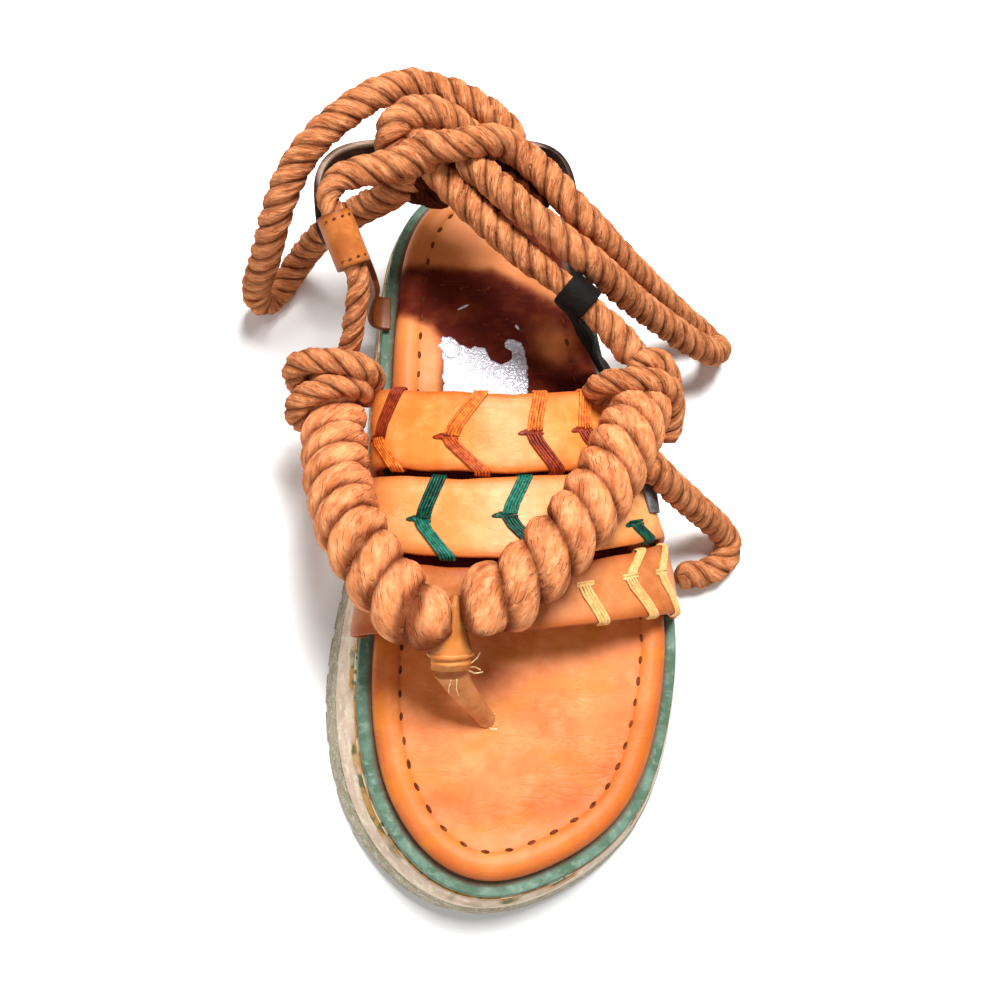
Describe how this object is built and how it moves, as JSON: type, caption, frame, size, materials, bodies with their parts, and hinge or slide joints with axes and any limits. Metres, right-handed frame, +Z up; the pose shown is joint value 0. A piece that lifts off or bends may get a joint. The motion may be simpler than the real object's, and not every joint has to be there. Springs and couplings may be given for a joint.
{
  "type": "platform sandal",
  "caption": "Left platform sandal: layered sole with a leather footbed, three arched leather straps, a toe post, two coiled rope arms, rolled tubes and a rope tied in a bow behind the heel",
  "frame": {"origin": "centre of the underside of the sandal, on the plane of the tread, measured without the free ropes", "axes": "-Y towards the toe, +Y towards the heel, -X towards the big toe side, +Z up"},
  "size_m": [0.1753, 0.253, 0.087],
  "materials": {
    "tread_rubber": "rough grey, speckled",
    "cream_foam": "satin",
    "gold_paint": "satin, uneven paint",
    "teal_paint": "satin, mottled paint",
    "footbed_leather": "smooth, lightly crinkled",
    "strap_leather_orange": "smooth",
    "strap_leather_tan": "smooth",
    "strap_leather_brown": "smooth",
    "post_leather": "smooth",
    "rope": "twisted fibre",
    "tube_leather_tan": "smooth",
    "tube_leather_dark": "smooth",
    "band_leather_dark": "smooth"
  },
  "bodies": {
    "root": {"outsole": "tread_rubber", "midsole_cream": "cream_foam", "midsole_gold": "gold_paint", "midsole_teal": "teal_paint", "footbed": "footbed_leather", "strap_top": "strap_leather_orange", "strap_middle": "strap_leather_tan", "strap_front": "strap_leather_brown", "toe_post": "post_leather", "toe_post_ring": "post_leather", "toe_wedge": "post_leather", "rope_arm_medial": "rope", "rope_arm_lateral": "rope", "quarter_strap_medial": "tube_leather_tan", "quarter_strap_lateral": "tube_leather_dark", "heel_band": "band_leather_dark", "tie_rope_medial": "rope", "tie_rope_lateral": "rope", "bow_knot": "rope", "bow_loop_medial": "rope", "bow_loop_lateral": "rope", "rope_tail": "rope"}
  },
  "joints": []
}
